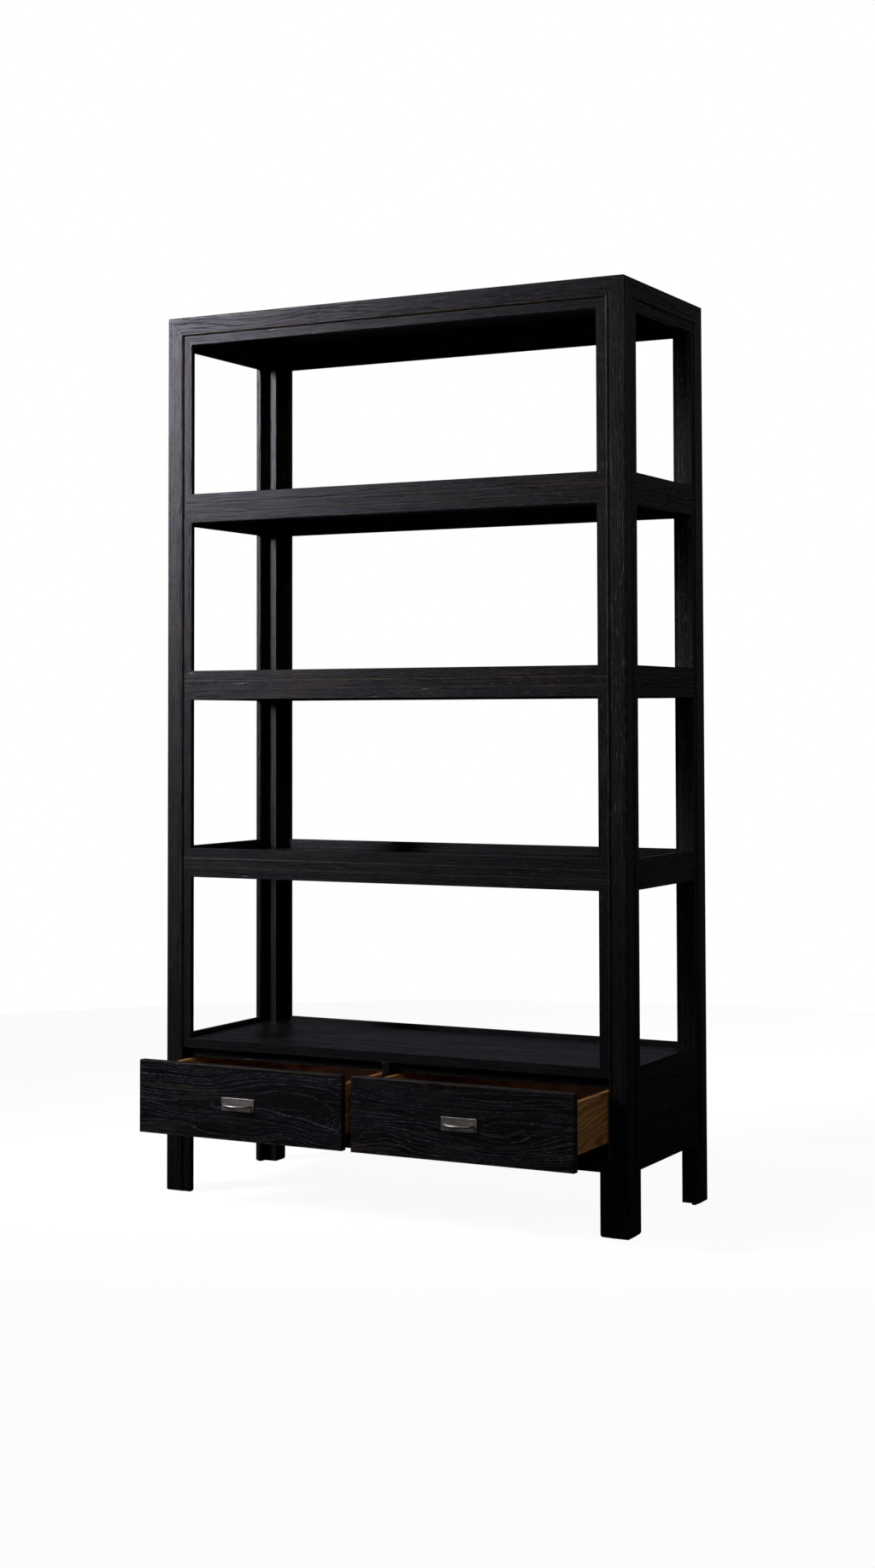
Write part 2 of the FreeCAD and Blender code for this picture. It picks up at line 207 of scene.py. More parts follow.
WHITE = colour(1.0, 1.0, 1.0)
ROOM_TINT = colour(0.80, 0.85, 1.0)
ROOM_FILL = 0.14
ROOM_MIRRORED = 0.05
BACKDROP_MIRRORED = 0.11
FLOOR_SPECKLE = (colour(0.48, 0.48, 0.48), colour(0.52, 0.52, 0.52))
FLOOR_DIM = colour(0.06, 0.06, 0.065)
FLOOR_GLOW = 1.18
FLOOR_GLOW_SHARE = 0.8


# Node trees

class Steps:
    """A node tree, written in the order in which a value is worked out."""

    def __init__(self, tree):
        self.tree = tree
        self.tree.nodes.clear()

    def node(self, kind, inputs=None, **settings):
        made = self.tree.nodes.new(kind)
        for key, value in settings.items():
            setattr(made, key, value)
        for key, value in (inputs or {}).items():
            self.feed(made.inputs[key], value)
        return made

    def feed(self, socket, value):
        if isinstance(value, bpy.types.NodeSocket):
            self.tree.links.new(value, socket)
        else:
            socket.default_value = value

    def number(self, operation, *values):
        inputs = dict(enumerate(values))
        return self.node("ShaderNodeMath", inputs, operation=operation).outputs[0]

    def chain(self, operation, first, *others):
        """One sum over several values, from left to right."""
        for other in others:
            first = self.number(operation, first, other)
        return first

    def times(self, *values):
        return self.chain("MULTIPLY", *values)

    def plus(self, *values):
        return self.chain("ADD", *values)

    def minus(self, *values):
        return self.chain("SUBTRACT", *values)

    def highest(self, *values):
        return self.chain("MAXIMUM", *values)

    def lowest(self, *values):
        return self.chain("MINIMUM", *values)

    def ratio(self, value, whole):
        return self.number("DIVIDE", value, whole)

    def size(self, value):
        return self.number("ABSOLUTE", value)

    def stretch(self, value, low, high, to_low=0.0, to_high=1.0, way="LINEAR"):
        """Takes a range of values to another, and stops at its ends."""
        inputs = {"Value": value, "From Min": low, "From Max": high, "To Min": to_low, "To Max": to_high}
        return self.node("ShaderNodeMapRange", inputs, interpolation_type=way).outputs[0]

    def step(self, value, low, high, to_low=0.0, to_high=1.0):
        """A stretch that starts and stops softly."""
        return self.stretch(value, low, high, to_low, to_high, "SMOOTHSTEP")

    def between(self, share, low, high):
        """The value that lies a share of the way from low to high."""
        return self.stretch(share, 0.0, 1.0, low, high)

    def apart(self, vector):
        return self.node("ShaderNodeSeparateXYZ", {"Vector": vector}).outputs[:3]

    def point(self, x, y, z):
        return self.node("ShaderNodeCombineXYZ", {"X": x, "Y": y, "Z": z}).outputs[0]

    def scaled(self, parts, factors):
        """The point whose three parts are each multiplied by a factor of their own."""
        return self.point(*(self.times(part, factor) for part, factor in zip(parts, factors)))

    def blend(self, factor, first, second):
        made = self.node("ShaderNodeMix", {0: factor, 6: first, 7: second}, data_type="RGBA")
        return made.outputs[2]

    def noise(self, vector, scale, detail=2.0, roughness=0.5):
        inputs = {"Vector": vector, "Scale": scale, "Detail": detail, "Roughness": roughness}
        return self.node("ShaderNodeTexNoise", inputs).outputs["Fac"]

    def chance(self, vector, kind):
        return self.node("ShaderNodeTexWhiteNoise", {"Vector": vector}).outputs[kind]

    def coordinates(self, kind):
        return self.node("ShaderNodeTexCoord").outputs[kind]


class Recipe(Steps):
    """A material's node tree."""

    def __init__(self, name):
        self.material = bpy.data.materials.new(name)
        self.material.use_nodes = True
        super().__init__(self.material.node_tree)

    def attribute(self, name):
        return self.node("ShaderNodeAttribute", attribute_name=name).outputs["Vector"]

    def bump(self, height, strength, distance):
        inputs = {"Height": height, "Strength": strength, "Distance": distance}
        return self.node("ShaderNodeBump", inputs).outputs[0]

    def mixed(self, share, first, second):
        return self.node("ShaderNodeMixShader", {0: share, 1: first.outputs[0], 2: second.outputs[0]})

    def surface(self, inputs):
        return self.show(self.node("ShaderNodeBsdfPrincipled", inputs))

    def show(self, shader):
        self.node("ShaderNodeOutputMaterial", {"Surface": shader.outputs[0]})
        return self.material


# Wood

class Wood(Recipe):
    """A wood whose planks are each cut from their own part of a log. A board's attributes hold each point's
    place in the log and in the board, half the board's size, and its seed, count of planks and figure."""

    def __init__(self, name, ring_widths):
        super().__init__(name)
        along, lift, self.deep = self.apart(self.attribute("grain"))
        across, through = self.apart(self.attribute("board"))[1:]
        half_wide, half_thick = self.apart(self.attribute("half"))[1:]
        self.seed, planks, self.figure = self.apart(self.attribute("plank"))
        self.find_edges(across, through, half_wide, half_thick)
        self.find_plank(along, lift, across, half_wide, planks)
        self.shape_rings(ring_widths)
        self.draw_lines()
        self.open_pores()

    def find_edges(self, across, through, half_wide, half_thick):
        """The way from a point to the long edge of its face, and how far a bead stands out of its board."""
        to_side = self.minus(half_wide, self.size(across))
        to_face = self.minus(half_thick, self.size(through))
        self.edge = self.highest(to_side, to_face)
        self.proud = self.times(self.lowest(to_side, to_face), -1.0)

    def find_plank(self, along, lift, across, half_wide, planks):
        """The plank in which a point lies, the point's place in it and its way to the next joint, and three
        numbers drawn for the plank: where in the log it starts, how deep it lies and how it tilts."""
        place = self.times(self.plus(self.ratio(across, half_wide), 1.0), 0.5, planks)
        self.plank = self.number("FLOOR", self.lowest(place, self.minus(planks, 0.001)))
        self.plank_width = self.ratio(self.times(half_wide, 2.0), planks)
        middle = self.minus(self.plus(self.plank, 0.5), self.times(planks, 0.5))
        self.in_plank = self.minus(lift, self.times(middle, self.plank_width))
        to_joint = self.size(self.minus(self.number("FRACT", self.plus(place, 0.5)), 0.5))
        self.joint = self.times(to_joint, self.plank_width)
        pick = self.point(self.times(self.seed, 91.7), self.plank, self.times(self.seed, 37.1))
        self.start, self.heart, self.tilt = self.apart(self.chance(pick, "Color"))
        self.run = self.plus(along, self.times(self.start, LOG_LENGTH))

    def grain_noise(self, counts, detail=2.0, roughness=0.6):
        """Noise drawn out along the grain."""
        along, across = counts
        place = self.scaled((self.run, self.in_plank, self.deep), (along, across, across))
        return self.noise(place, 1.0, detail, roughness)

    def shape_rings(self, ring_widths):
        """Width of a plank's rings, how much they fold, and how they slant along the plank."""
        self.ring_width = self.stretch(self.plank_width, *PLANK_WIDTHS, *ring_widths)
        self.folds = self.times(self.between(self.figure, 0.0, MOST_FOLDS),
                                self.between(self.start, 0.65, 1.25))
        self.slant = self.between(self.tilt, -MOST_SLANT, MOST_SLANT)

    def ring_count(self, run, in_plank):
        """Rings met up to a place: even across the plank, and folded into loops by the shape of the log."""
        heart = self.plus(self.times(self.deep, 9.0), self.times(self.heart, 40.0))
        place = self.point(self.times(run, 3.6), self.times(in_plank, 13.0), heart)
        bend = self.noise(place, 1.0, 1.2, 0.40)
        even = self.ratio(self.plus(in_plank, self.times(self.deep, 0.7)), self.ring_width)
        lean = self.times(run, self.slant, self.figure)
        return self.plus(even, lean, self.times(self.minus(bend, 0.5), self.folds))

    def rings_and_slope(self):
        """The ring count with its ripples, and how much the plain count grows over a small way."""
        count = self.ring_count(self.run, self.in_plank)
        rise = self.minus(self.ring_count(self.run, self.plus(self.in_plank, SMALL_WAY)), count)
        climb = self.minus(self.ring_count(self.plus(self.run, SMALL_WAY), self.in_plank), count)
        slope = self.number("SQRT", self.plus(self.times(rise, rise), self.times(climb, climb)))
        ripple = self.noise(self.scaled((self.run, self.in_plank, self.deep), (28.0, 90.0, 1.0)), 1.0)
        count = self.plus(count, self.times(ripple, self.between(self.figure, 0.15, 0.35)))
        spacing = self.noise(self.point(count, self.seed, self.plank), 0.4, 1.0)
        return self.plus(count, self.times(spacing, RING_SPREAD)), slope

    def draw_lines(self):
        """Lines of early wood, one to a ring and of much the same breadth wherever the rings lie close or far
        apart: whole, and broken into dashes."""
        rings, slope = self.rings_and_slope()
        self.off_line = self.size(self.minus(self.number("FRACT", rings), 0.5))
        breadth = self.times(slope, self.stretch(self.ring_width, *STAINED_RINGS, *LINE_BREADTHS),
                             self.stretch(self.grain_noise(LINE_SWELLS), 0.3, 0.7, 0.5, 1.7))
        off_share = self.ratio(self.off_line, self.lowest(breadth, BROADEST_LINE))
        line = self.minus(1.0, self.step(off_share, 0.15, 1.0))
        strength = self.chance(self.point(self.number("FLOOR", rings), self.seed, self.plank), "Value")
        self.accent = self.step(self.grain_noise(ACCENTS, 3.0), 0.42, 0.58)
        self.early = self.times(line, self.between(self.accent, 0.40, 1.0),
                                self.between(strength, 0.50, 1.0))
        self.dashed = self.times(self.early, self.step(self.grain_noise(DASHES), 0.42, 0.60, 0.25, 1.0))

    def open_pores(self):
        """Short pores, fewer where there is much figure, and fine fibre, long streaks and broad patches."""
        pores = self.step(self.grain_noise(PORES), 0.57, 0.68)
        self.pores = self.times(pores, self.between(self.accent, 0.25, 1.0),
                                self.stretch(self.figure, BOARD_FIGURE, FRONT_FIGURE, 1.0, 0.25))
        self.fibre = self.grain_noise(FIBRES, 3.0, 0.5)
        self.streaks = self.grain_noise(STREAKS, 3.0, 0.62)
        self.patch = self.point(self.times(self.run, 1.7), self.times(self.in_plank, 15.0),
                                self.plus(self.deep, self.times(self.tilt, 9.0)))


def handling(wood):
    """How much a place is touched: less towards the floor, but fully on the drawer fronts, which are known by
    their figure."""
    height = wood.apart(wood.coordinates("Object"))[2]
    by_height = wood.step(height, *HANDLED_HEIGHTS, 0.2, 1.0)
    return wood.highest(by_height, wood.step(wood.figure, 0.7, FRONT_FIGURE))


def edge_wear_with_highlight(wood, edges, handled):
    """Where the stain is rubbed to brown: along the edges of a face, and on the crests of the beads. On the
    free edges this brown is partly a painted highlight.
    """
    broken = wood.noise(wood.patch, 26.0, 3.0, 0.6)
    reach = wood.stretch(broken, 0.3, 0.75, *edges["reach"])
    worn_and_highlit = wood.step(wood.minus(reach, wood.edge), -0.0004, edges["fade"])
    # Bead crests: partly rubbed wear, partly a painted highlight.
    crest_highlight_and_wear = wood.times(wood.step(wood.proud, BEAD_CREST, BEAD_HEIGHT), wood.step(broken, 0.42, 0.60))
    return wood.times(wood.highest(worn_and_highlit, wood.times(crest_highlight_and_wear, 0.85)), handled)


def stained_wood(name, edges):
    """Black-brown stain under satin lacquer. The lacquer is open along the grain lines and the pores, some of
    which are filled with grey, painted lighter on the drawer fronts in place of light. Edges are rubbed to
    brown, which on free edges is partly a painted highlight; sheltered ones are rubbed beside a seam of
    painted shade."""
    wood = Wood(name, STAINED_RINGS)
    handled = handling(wood)
    pores = wood.times(wood.pores, handled)
    open_grain = wood.stretch(wood.figure, 0.0, 0.5, 0.35, 1.0)
    lines = wood.highest(wood.times(wood.early, open_grain), pores)
    tint = wood.noise(wood.patch, 3.0, 4.0, 0.62)
    # Grey fill in the grain lines: partly real filler, partly painted light, as it is made much lighter on
    # the drawer fronts than on the boards above.
    grain_fill_and_painted_light = wood.times(wood.dashed, open_grain,
                        wood.stretch(wood.figure, BOARD_FIGURE, FRONT_FIGURE, 0.12, 1.0),
                        wood.step(tint, 0.40, 0.62, 1.0, 0.65))
    faded = wood.minus(tint, wood.stretch(wood.figure, 0.1, 0.8, 0.0, 0.03))
    worn = wood.times(wood.step(faded, 0.51, 0.66), wood.step(wood.fibre, 0.30, 0.58), handled)
    worn_and_highlit = edge_wear_with_highlight(wood, edges, handled)
    pits = wood.step(wood.grain_noise(PITS, 1.0, 0.5), 0.69, 0.78)
    dull = wood.times(wood.step(wood.streaks, 0.47, 0.66), wood.stretch(wood.figure, 0.15, 0.6, 0.15, 0.75))

    body = wood.blend(worn, STAIN, WORN_STAIN)
    # Grey grain fill, partly painted light on the drawer fronts.
    body = wood.blend(grain_fill_and_painted_light, body, GRAIN_FILL)
    body = wood.blend(wood.times(pores, 0.9), body, PORE_GREY)
    # Rubbed brown on the edges; on the free edges it is partly a painted highlight.
    body = wood.blend(wood.times(worn_and_highlit, edges["amount"]), body, edges["brown"])
    bare = wood.highest(wood.step(lines, 0.0, 0.5), wood.times(worn_and_highlit, 0.5), dull, wood.times(worn, 0.45))
    # Painted shade along the joint: a dark seam with no lacquer at the sheltered edges.
    if edges["seam_shade"]:
        seam_shade = wood.step(wood.edge, *edges["seam_shade"])
        body = wood.blend(seam_shade, body, PAINTED_SEAM_SHADE)
        bare = wood.highest(bare, seam_shade)
    body = wood.blend(wood.times(pits, 0.6), body, PIT_BLACK)

    lacquer = wood.times(wood.minus(1.0, bare), wood.stretch(wood.fibre, 0.3, 0.7, 0.78, 1.0))
    height = wood.minus(wood.times(wood.fibre, 0.12), wood.times(lines, 0.6), wood.times(pits, 1.6),
                        wood.step(wood.joint, JOINT_WIDTH, 0.0, 0.0, 0.12))
    relief = wood.bump(height, 0.5, 0.0006)
    return wood.surface({
        "Base Color": body,
        "Roughness": wood.stretch(wood.fibre, 0.3, 0.7, 0.50, 0.62),
        "Coat Weight": lacquer,
        "Normal": relief,
        "Coat Normal": relief,
        **LACQUER,
    })


def drawer_wood():
    """Pale softwood with soft brown bands along the grain, and a painted highlight along its edges."""
    wood = Wood("drawer_wood", PALE_RINGS)
    tint = wood.noise(wood.patch, 2.4, 3.0, 0.55)
    band = wood.times(wood.step(wood.off_line, 0.42, 0.05), wood.step(wood.streaks, 0.25, 0.60, 0.45, 1.0))
    body = wood.blend(wood.step(tint, 0.35, 0.65), PALE_WOOD, WARM_WOOD)
    body = wood.blend(band, body, RING_BROWN)
    body = wood.blend(wood.times(wood.pores, 0.5), body, PORE_BROWN)
    # Painted highlight along the board edges.
    body = wood.blend(wood.times(wood.step(wood.edge, 0.0016, 0.0), 0.6), body, PAINTED_EDGE_HIGHLIGHT)
    height = wood.minus(wood.times(wood.fibre, 0.4), wood.times(wood.pores, 0.3))
    return wood.surface({
        "Base Color": body,
        "Roughness": wood.stretch(wood.fibre, 0.3, 0.7, 0.42, 0.58),
        "IOR": 1.45,
        "Normal": wood.bump(height, 0.25, 0.0005),
    })


# Metal

def satin_metal():
    """Warm grey metal with a fine brushed grain along the plate, under an uneven darker film."""
    metal = Recipe("satin_metal")
    place = metal.coordinates("Object")
    brushed = metal.noise(metal.scaled(metal.apart(place), (120.0, 900.0, 2600.0)), 1.0)
    film = metal.noise(place, 90.0, 3.0)
    gloss = metal.plus(metal.stretch(film, 0.3, 0.7, 0.42, 0.38),
                       metal.stretch(brushed, 0.3, 0.7, -0.02, 0.03))
    return metal.surface({
        "Base Color": metal.blend(metal.step(film, 0.3, 0.75), METAL_FILM, METAL_RUBBED),
        "Metallic": 1.0,
        "Roughness": gloss,
        "Normal": metal.bump(brushed, 0.08, 0.0003),
    })


# Boards

def is_square(face):
    """True for a face that looks straight along an axis."""
    return max(abs(part) for part in face.normal) > SQUARE_ENOUGH


def part_touching_boards(mesh):
    """Takes boards apart where a face of one lies on a face of the next, and closes each again."""
    crowded = [edge for edge in mesh.edges if len(edge.link_faces) > 2]
    if not crowded:
        return
    ring = {vert for edge in crowded for vert in edge.verts}
    inner = [face for face in mesh.faces if ring.issuperset(face.verts) and not is_square(face)]
    bmesh.ops.delete(mesh, geom=inner, context="FACES_ONLY")
    bmesh.ops.split_edges(mesh, edges=[edge for edge in crowded if edge.is_valid and edge.link_faces])
    bmesh.ops.delete(mesh, geom=[edge for edge in mesh.edges if not edge.link_faces], context="EDGES")
    bmesh.ops.holes_fill(mesh, edges=[edge for edge in mesh.edges if edge.is_boundary], sides=0)
    bmesh.ops.recalc_face_normals(mesh, faces=mesh.faces)


def merged_mesh(node):
    """A copy of a node's mesh with its doubles merged and its flat faces made whole."""
    mesh = bmesh.new()
    mesh.from_mesh(cad[node].data)
    bmesh.ops.remove_doubles(mesh, verts=mesh.verts, dist=MERGE_DISTANCE)
    part_touching_boards(mesh)
    bmesh.ops.dissolve_limit(mesh, angle_limit=math.radians(WELD_ANGLE), verts=mesh.verts, edges=mesh.edges)
    return mesh


def is_outer_edge(edge):
    """True for a sharp outer edge between square faces, so not for a mitre or an inner corner."""
    return (len(edge.link_faces) == 2 and edge.is_convex
            and edge.calc_face_angle(0.0) > math.radians(SHARP_ANGLE)
            and all(is_square(face) for face in edge.link_faces))


def ease_edges(mesh, width):
    """Takes the sharpness off the outer edges."""
    edges = [edge for edge in mesh.edges if is_outer_edge(edge)]
    bmesh.ops.bevel(mesh, geom=edges, offset=width, offset_type="OFFSET", segments=2, profile=0.5,
                    affect="EDGES", clamp_overlap=True)


def box_of(points):
    """Lowest and highest corner of the box round some points."""
    low = Vector([min(point[axis] for point in points) for axis in range(3)])
    high = Vector([max(point[axis] for point in points) for axis in range(3)])
    return low, high


def place_of(group):
    """Where a board starts along each axis, to a tenth of a millimetre."""
    low = box_of([vert.co for vert in group])[0]
    return [round(part, 4) for part in low]


def islands(mesh):
    """The separate boards of a mesh, as lists of vertices, in the order of their places."""
    left = set(mesh.verts)
    groups = []
    while left:
        group = []
        queue = [left.pop()]
        while queue:
            vert = queue.pop()
            group.append(vert)
            found = {edge.other_vert(vert) for edge in vert.link_edges} & left
            left -= found
            queue.extend(found)
        groups.append(group)
    return sorted(groups, key=place_of)


def board_core(node, group):
    """Lowest and highest corner of a board without the raised beads on its outward faces."""
    low, high = box_of([vert.co for vert in group])
    for name, axes in BEADED_AXES.items():
        if node.startswith(name):
            for axis in axes:
                if low[axis] + high[axis] < 0:
                    low[axis] += BEAD_HEIGHT
                else:
                    high[axis] -= BEAD_HEIGHT
    return low, high


def is_flat(data, face):
    longest = max((data.vertices[a].co - data.vertices[b].co).length for a, b in face.edge_keys)
    return face.area > FLAT_FACE_WIDTH * longest


def turn(first, second):
    """Angle between two faces."""
    return first.normal.angle(second.normal, math.pi)


def corner_normal(face, near, flat):
    """Direction of a face at one corner: a flat face has its own, and a round takes that of the flat face
    beside it, or the mean of the faces near it."""
    if flat[face.index]:
        return face.normal.copy()
    flats = [other for other in near if flat[other.index]]
    if flats:
        return min(flats, key=lambda other: turn(other, face)).normal.copy()
    return sum((other.normal for other in near), Vector((0, 0, 0))).normalized()


def set_normals(data):
    """Flat faces keep their own direction and the narrow rounds between them turn smoothly."""
    flat = [is_flat(data, face) for face in data.polygons]
    around = [[] for _ in data.vertices]
    for face in data.polygons:
        for vert in face.vertices:
            around[vert].append(face)
    normals = []
    for face in data.polygons:
        for vert in face.vertices:
            near = [other for other in around[vert] if turn(other, face) < math.radians(SMOOTH_ANGLE)]
            normals.append(corner_normal(face, near, flat))
    data.polygons.foreach_set("use_smooth", [True] * len(data.polygons))
    data.normals_split_custom_set(normals)


def log_seed(shelf, side):
    """The three bands of one side of a shelf are cut from one log."""
    return random.Random(shelf + side).random()


def band_side(node, long_axis, middle):
    """The side on which a shelf's rail lies. The rail's grain runs on through the strips beside it."""
    if not (node.startswith("shelf") and node.endswith("_frame")):
        return None
    axis = 1 - long_axis
    return ENDS_OF_AXIS[axis][middle[axis] > 0]


def board_values(node, group, seed, figure):
    """What the wood needs to know at each vertex of one board, by the vertex's number."""
    low, high = board_core(node, group)
    middle = (low + high) / 2
    half = (high - low) / 2
    order = sorted(range(3), key=lambda axis: -half[axis])
    side = band_side(node, order[0], middle)
    if side:
        seed = log_seed(node.replace("_frame", ""), side)
    for vert in group:
        place = vert.co - middle
        board = [place[axis] for axis in order]
        grain = board
        if side:
            outward = OUTWARD[side]
            depth = abs(half.dot(outward)) - place.dot(outward)
            grain = [vert.co.dot(UPWARD.cross(outward)), place.z, depth]
        yield vert.index, {
            "grain": grain,
            "board": board,
            "half": [half[axis] for axis in order],
            "plank": [seed, GLUED_PLANKS.get(node, 1), figure],
        }


def store_values(data, values):
    for name in ("grain", "board", "half", "plank"):
        layer = data.attributes.new(name, "FLOAT_VECTOR", "POINT")
        layer.data.foreach_set("vector", [part for i in range(len(values)) for part in values[i][name]])


def add_piece(node, data, slot):
    piece = bpy.data.objects.new(node + "_boards", data)
    bpy.context.scene.collection.objects.link(piece)
    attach(piece, body_of(cad[node])[0])
    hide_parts(node)


def add_boards(node, material, slot, figure=BOARD_FIGURE, edge_round=EDGE_ROUND):
    """The boards of one node with eased edges, each with its own piece of grain along its length."""
    mesh = merged_mesh(node)
    ease_edges(mesh, edge_round)
    mesh.verts.index_update()
    rng = random.Random(node)
    values = {}
    for group in islands(mesh):
        values.update(board_values(node, group, rng.random(), figure))
    data = bpy.data.meshes.new(node + "_boards")
    mesh.to_mesh(data)
    mesh.free()
    store_values(data, values)
    set_normals(data)
    data.materials.append(material)
    add_piece(node, data, slot)


# Border strips

BORDER_SIZES = ("Outer Width", "Outer Height", "Strip Width", "Strip Thickness", "Edge Round",
                "Upper Seed", "Lower Seed", "Side Seed")


def keep(strips, geometry, name, value):
    """Stores a value under a name at each point of a strip."""
    inputs = {"Geometry": geometry, "Name": name, "Value": value}
    return strips.node("GeometryNodeStoreNamedAttribute", inputs,
                       data_type="FLOAT_VECTOR", domain="POINT").outputs[0]


def mitred_bar(strips, outline, half_long, half_strip):
    """A bar along X, cut at both ends so that its outer side is the longer one."""
    line = strips.node("GeometryNodeCurvePrimitiveLine", {
        "Start": strips.point(strips.times(half_long, -1.0), 0.0, 0.0),
        "End": strips.point(half_long, 0.0, 0.0),
    })
    bar = strips.node("GeometryNodeCurveToMesh", {
        "Curve": line.outputs[0],
        "Profile Curve": outline,
        "Fill Caps": True,
    })
    x, y = strips.apart(strips.node("GeometryNodeInputPosition").outputs[0])[:2]
    cut = strips.times(strips.number("SIGN", x), strips.minus(y, half_strip))
    return strips.node("GeometryNodeSetPosition", {
        "Geometry": bar.outputs[0],
        "Offset": strips.point(cut, 0.0, 0.0),
    }).outputs[0]


def grain_of_strip(strips, turns, strip, half_thick):
    """A strip's place in its log. An upper or lower strip lies beside the rail in the log of its shelf."""
    u, v, w = strips.apart(strips.node("GeometryNodeInputPosition").outputs[0])
    board = strips.node("GeometryNodeInputNamedAttribute", {"Name": "board"}, data_type="FLOAT_VECTOR")
    across = strips.apart(board.outputs[0])[1]
    below = strips.minus(half_thick, w)
    if turns == 0:
        return strips.point(u, strips.minus(across, strip), below)
    if turns == 2:
        return strips.point(u, strips.minus(strip, across), below)
    return strips.point(v, across, below)


def border_strip(strips, given, outline, turns, seed):
    """One strip of a border, moved out to its side of the opening and turned there by quarter turns."""
    spans = (given["Outer Width"], given["Outer Height"])
    half_long = strips.times(spans[turns % 2], 0.5)
    half_strip = strips.times(given["Strip Width"], 0.5)
    half_thick = strips.times(given["Strip Thickness"], 0.5)
    made = mitred_bar(strips, outline, half_long, half_strip)
    made = keep(strips, made, "board", strips.node("GeometryNodeInputPosition").outputs[0])
    made = keep(strips, made, "half", strips.point(half_long, half_strip, half_thick))
    made = keep(strips, made, "plank", strips.point(seed, 1.0, STRIP_FIGURE))
    out = strips.minus(strips.times(spans[1 - turns % 2], 0.5), half_strip)
    angle = math.radians(90 * turns)
    made = strips.node("GeometryNodeTransform", {
        "Geometry": made,
        "Translation": strips.scaled((out, out, out), (-math.sin(angle), math.cos(angle), 0.0)),
        "Rotation": (0.0, 0.0, angle),
    }).outputs[0]
    return keep(strips, made, "grain", grain_of_strip(strips, turns, given["Strip Width"], half_thick))


def mitred_border():
    """A tree that makes the four strips round one opening, mitred where they meet: first the upper one, then
    the others by quarter turns."""
    tree = bpy.data.node_groups.new("mitred_border", "GeometryNodeTree")
    for name in BORDER_SIZES:
        tree.interface.new_socket(name=name, in_out="INPUT", socket_type="NodeSocketFloat")
    tree.interface.new_socket(name="Material", in_out="INPUT", socket_type="NodeSocketMaterial")
    tree.interface.new_socket(name="Geometry", in_out="OUTPUT", socket_type="NodeSocketGeometry")
    strips = Steps(tree)
    given = strips.node("NodeGroupInput").outputs
    outline = strips.node("GeometryNodeCurvePrimitiveQuadrilateral", {
        "Width": given["Strip Width"],
        "Height": given["Strip Thickness"],
    })
    outline = strips.node("GeometryNodeFilletCurve", {
        "Curve": outline.outputs[0],
        "Radius": given["Edge Round"],
        "Count": 3,
    }, mode="POLY")
    right_seed = strips.number("FRACT", strips.plus(given["Side Seed"], 0.37))
    seeds = (given["Upper Seed"], given["Side Seed"], given["Lower Seed"], right_seed)
    joined = strips.node("GeometryNodeJoinGeometry")
    for turns, seed in enumerate(seeds):
        strip = border_strip(strips, given, outline.outputs[0], turns, seed)
        tree.links.new(strip, joined.inputs[0])
    whole = strips.node("GeometryNodeRealizeInstances", {"Geometry": joined.outputs[0]})
    stained = strips.node("GeometryNodeSetMaterial", {
        "Geometry": whole.outputs[0],
        "Material": given["Material"],
    })
    strips.node("NodeGroupOutput", {"Geometry": stained.outputs[0]})
    return tree


def plain_mesh(name, tree, inputs):
    """The mesh that a tree makes from its named inputs."""
    holder = bpy.data.objects.new(name, bpy.data.meshes.new(name))
    bpy.context.scene.collection.objects.link(holder)
    modifier = holder.modifiers.new("border", "NODES")
    modifier.node_group = tree
    for item in tree.interface.items_tree:
        if item.in_out == "INPUT":
            modifier[item.identifier] = inputs[item.name]
    bpy.context.view_layer.update()
    data = bpy.data.meshes.new_from_object(holder.evaluated_get(bpy.context.evaluated_depsgraph_get()))
    bpy.data.objects.remove(holder)
    return data


def add_border(node, tree, material, slot):
    """The strips of one opening, in the place and size of their CAD node."""
    low, high = box_of([vert.co for vert in cad[node].data.vertices])
    size = high - low
    side = next(name for name in OUTWARD if name in node)
    outward = OUTWARD[side]
    across = UPWARD.cross(outward)
    above, below = SHELVES_OF_BAY[node[:5]]
    data = plain_mesh(node + "_strips", tree, {
        "Outer Width": abs(size.dot(across)),
        "Outer Height": size.z,
        "Strip Width": STRIP_WIDTH,
        "Strip Thickness": abs(size.dot(outward)),
        "Edge Round": STRIP_ROUND,
        "Upper Seed": log_seed(above, side),
        "Lower Seed": log_seed(below, side),
        "Side Seed": log_seed(node, side),
        "Material": material,
    })
    place = Matrix((across, UPWARD, outward)).transposed().to_4x4()
    place.translation = (low + high) / 2
    data.transform(place)
    set_normals(data)
    add_piece(node, data, slot)


def finish_object():
    """Gives every node its boards or strips; the handles keep their own mesh and only get their metal."""
    dark = stained_wood("stained_wood", FREE_EDGE_WEAR_AND_HIGHLIGHT)
    edged = stained_wood("stained_strips", SHELTERED_EDGES)
    pale = drawer_wood()
    metal = satin_metal()
    border = mitred_border()
    for entry in frame["record"]["subparts"]:
        node, slot = entry["node"], entry["material_slot"]
        if slot == "handle_metal":
            cad[node].data.materials.clear()
            cad[node].data.materials.append(metal)
        elif slot == "drawer_wood":
            add_boards(node, pale, slot)
        elif node.startswith("bay"):
            add_border(node, border, edged, slot)
        elif node.startswith("leg"):
            add_boards(node, edged, slot)
        elif node.startswith("post"):
            add_boards(node, dark, slot, POST_FIGURE)
        elif node.endswith("drawer_front"):
            add_boards(node, dark, slot, FRONT_FIGURE, FRONT_ROUND)
        else:
            add_boards(node, dark, slot)


# Studio

